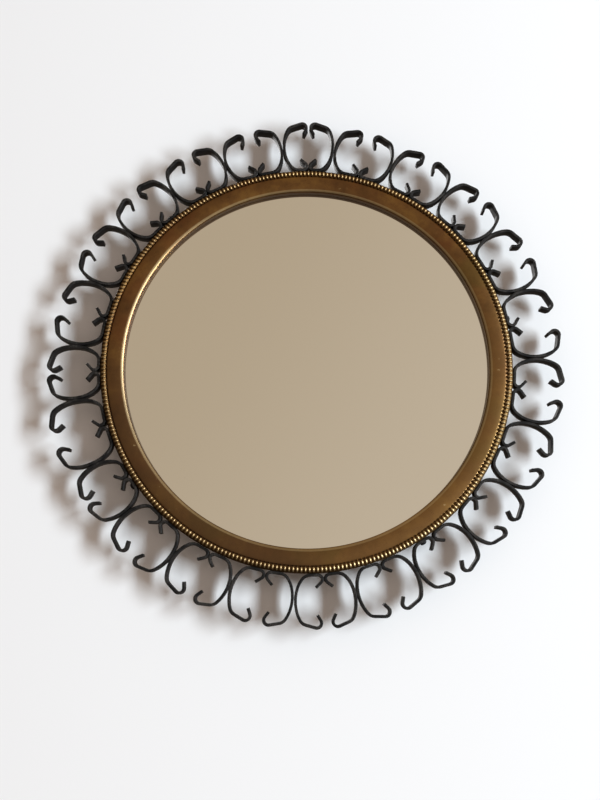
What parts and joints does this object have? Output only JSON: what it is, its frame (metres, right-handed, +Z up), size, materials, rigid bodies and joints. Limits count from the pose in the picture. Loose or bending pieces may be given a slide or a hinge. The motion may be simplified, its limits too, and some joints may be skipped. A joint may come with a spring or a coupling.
{
  "type": "wall mirror",
  "caption": "Round wall mirror: recessed glass in a beaded brass ring, bordered by petals bent from black iron strip, with a strap hanger and a swinging D-ring on the back.",
  "frame": {"origin": "centre of the mirror in the plane of the wall, at the ring's rear rim", "axes": "+Z up, -Y out of the wall towards the viewer, +X to the right as seen from the front"},
  "size_m": [0.3602, 0.018, 0.3627],
  "materials": {
    "aged_brass": "satin, browned",
    "mirror_glass": "polished",
    "hardboard": "matte",
    "black_iron": "satin black",
    "steel": "zinc plated"
  },
  "bodies": {
    "mirror": {"backing_board": "hardboard", "border_nuts": "steel", "border_screws": "black_iron", "brass_frame": "aged_brass", "hanger_screws": "steel", "hanger_strap": "steel", "mirror_glass": "mirror_glass", "petal_01_left_scroll": "black_iron", "petal_01_right_scroll": "black_iron", "petal_02_left_scroll": "black_iron", "petal_02_right_scroll": "black_iron", "petal_03_left_scroll": "black_iron", "petal_03_right_scroll": "black_iron", "petal_04_left_scroll": "black_iron", "petal_04_right_scroll": "black_iron", "petal_05_left_scroll": "black_iron", "petal_05_right_scroll": "black_iron", "petal_06_left_scroll": "black_iron", "petal_06_right_scroll": "black_iron", "petal_07_left_scroll": "black_iron", "petal_07_right_scroll": "black_iron", "petal_08_left_scroll": "black_iron", "petal_08_right_scroll": "black_iron", "petal_09_left_scroll": "black_iron", "petal_09_right_scroll": "black_iron", "petal_10_left_scroll": "black_iron", "petal_10_right_scroll": "black_iron", "petal_11_left_scroll": "black_iron", "petal_11_right_scroll": "black_iron", "petal_12_left_scroll": "black_iron", "petal_12_right_scroll": "black_iron", "petal_13_left_scroll": "black_iron", "petal_13_right_scroll": "black_iron", "petal_14_left_scroll": "black_iron", "petal_14_right_scroll": "black_iron", "petal_15_left_scroll": "black_iron", "petal_15_right_scroll": "black_iron", "petal_16_left_scroll": "black_iron", "petal_16_right_scroll": "black_iron", "petal_17_left_scroll": "black_iron", "petal_17_right_scroll": "black_iron", "petal_18_left_scroll": "black_iron", "petal_18_right_scroll": "black_iron", "petal_19_left_scroll": "black_iron", "petal_19_right_scroll": "black_iron", "petal_20_left_scroll": "black_iron", "petal_20_right_scroll": "black_iron", "petal_21_left_scroll": "black_iron", "petal_21_right_scroll": "black_iron", "petal_22_left_scroll": "black_iron", "petal_22_right_scroll": "black_iron", "petal_23_left_scroll": "black_iron", "petal_23_right_scroll": "black_iron", "retaining_tabs": "aged_brass"},
    "ring": {"hanging_ring": "steel"}
  },
  "joints": [
    {"name": "ring_swing", "type": "hinge", "parent": "mirror", "child": "ring", "pos_m": [0, -0.00255, 0.1], "axis": [1, 0, 0], "range_deg": [0, 180]}
  ]
}
